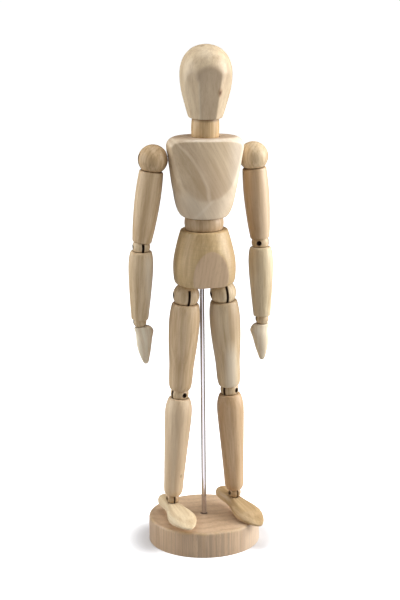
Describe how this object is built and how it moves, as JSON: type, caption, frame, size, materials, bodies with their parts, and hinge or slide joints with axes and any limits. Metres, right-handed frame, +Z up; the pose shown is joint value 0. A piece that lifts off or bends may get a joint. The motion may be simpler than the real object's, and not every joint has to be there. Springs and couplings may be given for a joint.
{
  "type": "artist mannequin",
  "caption": "Wooden artist's lay figure: turned limbs on ball joints, held by inner wire springs and pins, posed upright on a steel rod over a round wooden base.",
  "frame": {"origin": "centre of the base's underside, on the rod's axis", "axes": "+Z up along the rod, -Y the way the figure faces, +X the figure's left"},
  "size_m": [0.0872, 0.0678, 0.305],
  "materials": {
    "beech": "satin, sanded",
    "base_wood": "satin, sanded",
    "steel": "bright drawn"
  },
  "bodies": {
    "stand": {"base": "base_wood", "support_rod": "steel"},
    "pelvis": {"pelvis": "beech", "hip_spring": "steel", "pelvis_spring": "steel"},
    "waist": {"waist": "beech", "waist_pin": "steel"},
    "chest": {"chest": "beech", "spine_spring": "steel", "shoulder_spring": "steel"},
    "neck": {"neck": "beech", "neck_pin": "steel"},
    "head": {"head": "beech", "head_spring": "steel"},
    "left_shoulder": {"left_shoulder_ball": "beech", "left_shoulder_pin": "steel"},
    "left_upper_arm": {"left_upper_arm": "beech", "left_upper_arm_spring": "steel"},
    "left_elbow": {"left_elbow_ball": "beech", "left_elbow_pin": "steel"},
    "left_forearm": {"left_forearm": "beech", "left_forearm_spring": "steel"},
    "left_wrist": {"left_wrist_ball": "beech", "left_wrist_pin": "steel"},
    "left_hand": {"left_hand": "beech"},
    "right_shoulder": {"right_shoulder_ball": "beech", "right_shoulder_pin": "steel"},
    "right_upper_arm": {"right_upper_arm": "beech", "right_upper_arm_spring": "steel"},
    "right_elbow": {"right_elbow_ball": "beech", "right_elbow_pin": "steel"},
    "right_forearm": {"right_forearm": "beech", "right_forearm_spring": "steel"},
    "right_wrist": {"right_wrist_ball": "beech", "right_wrist_pin": "steel"},
    "right_hand": {"right_hand": "beech"},
    "left_hip": {"left_hip_ball": "beech", "left_hip_pin": "steel"},
    "left_thigh": {"left_thigh": "beech", "left_thigh_spring": "steel"},
    "left_knee": {"left_knee_ball": "beech", "left_knee_pin": "steel"},
    "left_shin": {"left_shin": "beech", "left_shin_spring": "steel"},
    "left_ankle": {"left_ankle_ball": "beech", "left_ankle_pin": "steel"},
    "left_foot": {"left_foot": "beech", "left_foot_hook": "steel"},
    "right_hip": {"right_hip_ball": "beech", "right_hip_pin": "steel"},
    "right_thigh": {"right_thigh": "beech", "right_thigh_spring": "steel"},
    "right_knee": {"right_knee_ball": "beech", "right_knee_pin": "steel"},
    "right_shin": {"right_shin": "beech", "right_shin_spring": "steel"},
    "right_ankle": {"right_ankle_ball": "beech", "right_ankle_pin": "steel"},
    "right_foot": {"right_foot": "beech", "right_foot_hook": "steel"}
  },
  "joints": [
    {"name": "figure_turn", "type": "hinge", "parent": "stand", "child": "pelvis", "pos_m": [0, 0, 0.164], "axis": [0, 0, 1], "continuous": true},
    {"name": "waist_turn", "type": "hinge", "parent": "pelvis", "child": "waist", "pos_m": [0, -0.0061, 0.2006], "axis": [0, 0, 1], "range_deg": [-75, 75]},
    {"name": "chest_bend", "type": "hinge", "parent": "waist", "child": "chest", "pos_m": [0, -0.0061, 0.2006], "axis": [1, 0, 0], "range_deg": [-28, 28]},
    {"name": "neck_turn", "type": "hinge", "parent": "chest", "child": "neck", "pos_m": [0.00126, -0.0061, 0.25619], "axis": [0.0227, 0, 0.9997], "range_deg": [-80, 80]},
    {"name": "head_nod", "type": "hinge", "parent": "neck", "child": "head", "pos_m": [0.00126, -0.0061, 0.25619], "axis": [0.9959, -0.0872, -0.0226], "range_deg": [-20, 20]},
    {"name": "left_shoulder_swing", "type": "hinge", "parent": "chest", "child": "left_shoulder", "pos_m": [0.03135, -0.0032, 0.2378], "axis": [-0.9826, 0, 0.1857], "continuous": true},
    {"name": "left_arm_raise", "type": "hinge", "parent": "left_shoulder", "child": "left_upper_arm", "pos_m": [0.03135, -0.0032, 0.2378], "axis": [-0.0017, -0.9997, 0.0226], "range_deg": [-2, 95]},
    {"name": "left_elbow_swivel", "type": "hinge", "parent": "left_upper_arm", "child": "left_elbow", "pos_m": [0.03517, -0.00438, 0.18585], "axis": [-0.0732, 0.0226, 0.9971], "range_deg": [-90, 90]},
    {"name": "left_elbow_bend", "type": "hinge", "parent": "left_elbow", "child": "left_forearm", "pos_m": [0.03517, -0.00438, 0.18585], "axis": [-0.4233, -0.9051, 0.0413], "range_deg": [-5, 50]},
    {"name": "left_wrist_swivel", "type": "hinge", "parent": "left_forearm", "child": "left_wrist", "pos_m": [0.03549, -0.00666, 0.13931], "axis": [-0.007, 0.0488, 0.9988], "range_deg": [-90, 90]},
    {"name": "left_hand_tilt", "type": "hinge", "parent": "left_wrist", "child": "left_hand", "pos_m": [0.03549, -0.00666, 0.13931], "axis": [0.0008, -0.9985, -0.0541], "range_deg": [-25, 50]},
    {"name": "right_shoulder_swing", "type": "hinge", "parent": "chest", "child": "right_shoulder", "pos_m": [-0.02963, -0.0032, 0.23918], "axis": [-0.99, 0, -0.1409], "continuous": true},
    {"name": "right_arm_raise", "type": "hinge", "parent": "right_shoulder", "child": "right_upper_arm", "pos_m": [-0.02963, -0.0032, 0.23918], "axis": [0.0033, 0.9997, 0.0222], "range_deg": [-4, 95]},
    {"name": "right_elbow_swivel", "type": "hinge", "parent": "right_upper_arm", "child": "right_elbow", "pos_m": [-0.03724, -0.00203, 0.18765], "axis": [-0.146, 0.0224, -0.989], "range_deg": [-90, 90]},
    {"name": "right_elbow_bend", "type": "hinge", "parent": "right_elbow", "child": "right_forearm", "pos_m": [-0.03724, -0.00203, 0.18765], "axis": [-0.9998, -0.0014, 0.0191], "range_deg": [-46, 50]},
    {"name": "right_wrist_swivel", "type": "hinge", "parent": "right_forearm", "child": "right_wrist", "pos_m": [-0.03813, 0.0013, 0.14118], "axis": [-0.0191, 0.0715, -0.9973], "range_deg": [-90, 90]},
    {"name": "right_hand_tilt", "type": "hinge", "parent": "right_wrist", "child": "right_hand", "pos_m": [-0.03813, 0.0013, 0.14118], "axis": [0.0051, 0.9991, -0.0412], "range_deg": [-28, 55]},
    {"name": "left_hip_turn", "type": "hinge", "parent": "pelvis", "child": "left_hip", "pos_m": [0.0114, -0.0061, 0.1572], "axis": [0, 0, 1], "range_deg": [-20, 40]},
    {"name": "left_thigh_swing", "type": "hinge", "parent": "left_hip", "child": "left_thigh", "pos_m": [0.0114, -0.0061, 0.1572], "axis": [-0.9938, -0.0846, -0.0727], "range_deg": [-1, 75]},
    {"name": "left_knee_swivel", "type": "hinge", "parent": "left_thigh", "child": "left_knee", "pos_m": [0.01569, -0.00374, 0.0958], "axis": [-0.0697, -0.0383, 0.9968], "range_deg": [-8, 90]},
    {"name": "left_knee_bend", "type": "hinge", "parent": "left_knee", "child": "left_shin", "pos_m": [0.01569, -0.00374, 0.0958], "axis": [0.6152, -0.7883, 0.0105], "range_deg": [-7, 48]},
    {"name": "left_ankle_swivel", "type": "hinge", "parent": "left_shin", "child": "left_ankle", "pos_m": [0.01911, -0.00198, 0.0284], "axis": [-0.0506, -0.0261, 0.9984], "range_deg": [-8, 60]},
    {"name": "left_foot_tilt", "type": "hinge", "parent": "left_ankle", "child": "left_foot", "pos_m": [0.01911, -0.00198, 0.0284], "axis": [-0.9659, -0.2588, 0], "range_deg": [-1, 22]},
    {"name": "right_hip_turn", "type": "hinge", "parent": "pelvis", "child": "right_hip", "pos_m": [-0.0114, -0.0061, 0.1572], "axis": [0, 0, -1], "range_deg": [-30, 45]},
    {"name": "right_thigh_swing", "type": "hinge", "parent": "right_hip", "child": "right_thigh", "pos_m": [-0.0114, -0.0061, 0.1572], "axis": [-0.9979, -0.0031, 0.0644], "range_deg": [-60, 75]},
    {"name": "right_knee_swivel", "type": "hinge", "parent": "right_thigh", "child": "right_knee", "pos_m": [-0.01537, -0.0031, 0.0958], "axis": [-0.0645, 0.0487, -0.9967], "range_deg": [-40, 90]},
    {"name": "right_knee_bend", "type": "hinge", "parent": "right_knee", "child": "right_shin", "pos_m": [-0.01537, -0.0031, 0.0958], "axis": [-0.3389, 0.9395, 0.0489], "range_deg": [-8, 46]},
    {"name": "right_ankle_swivel", "type": "hinge", "parent": "right_shin", "child": "right_ankle", "pos_m": [-0.0202, -0.00134, 0.0285], "axis": [-0.0715, 0.0261, -0.9971], "range_deg": [-40, 60]},
    {"name": "right_foot_tilt", "type": "hinge", "parent": "right_ankle", "child": "right_foot", "pos_m": [-0.0202, -0.00134, 0.0285], "axis": [-0.9962, -0.0872, 0], "range_deg": [-5, 18]}
  ]
}
